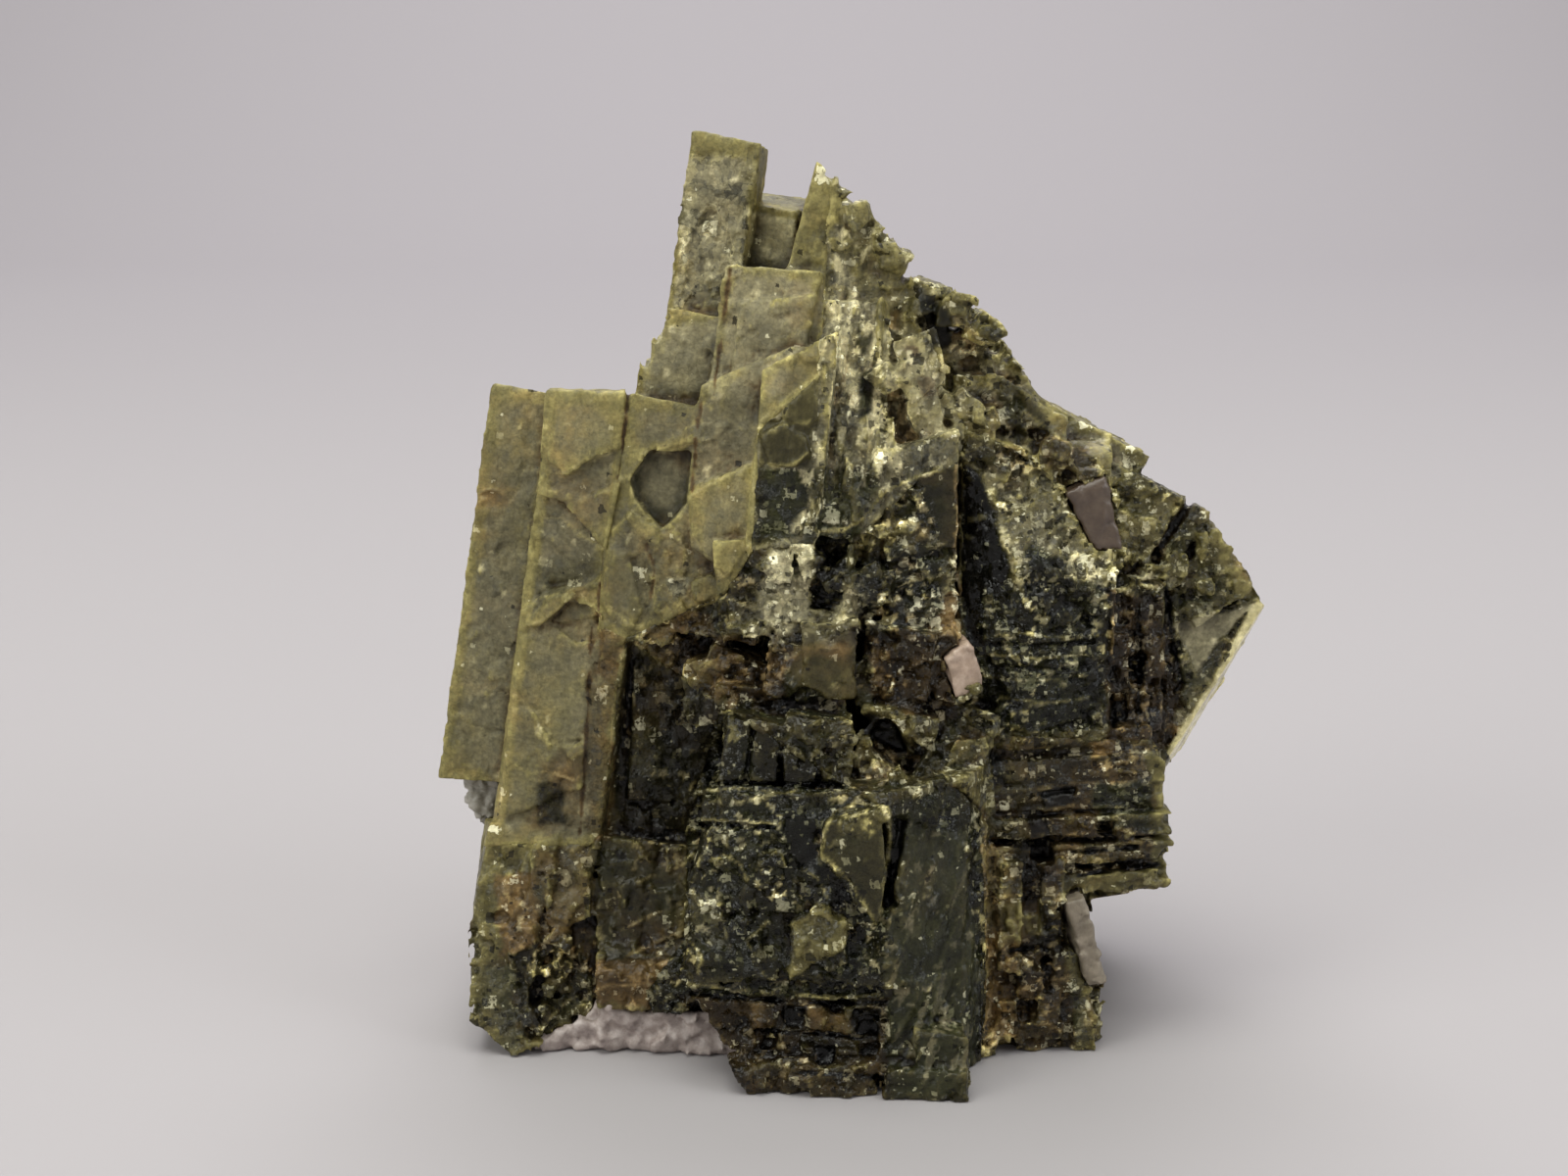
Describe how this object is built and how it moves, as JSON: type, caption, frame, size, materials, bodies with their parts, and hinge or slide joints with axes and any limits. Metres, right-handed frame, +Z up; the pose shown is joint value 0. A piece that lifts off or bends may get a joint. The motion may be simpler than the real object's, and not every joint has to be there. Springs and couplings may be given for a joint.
{
  "type": "diopside crystal specimen",
  "caption": "Cluster of intergrown bladed diopside crystals, pale on one side and dark and broken on the other, with remnants of pale calcite.",
  "frame": {"origin": "middle of the bounding box in X and Y, at the surface that the specimen stands on", "axes": "+Z up, -Y towards the viewer of the show side, +X to the right of the show side"},
  "size_m": [0.0575, 0.0374, 0.0619],
  "materials": {
    "diopside": "vitreous to satin stone, olive green to black green, with paler edges and flakes",
    "calcite": "translucent white to lilac calcite, broken and slightly glossy",
    "calcite_mauve": "smooth mauve grey cleavage face of calcite"
  },
  "bodies": {
    "root": {"diopside_cluster": "diopside", "calcite_base": "calcite", "calcite_left": "calcite", "calcite_grain": "calcite_mauve", "calcite_chip": "calcite", "calcite_strip": "calcite"}
  },
  "joints": []
}
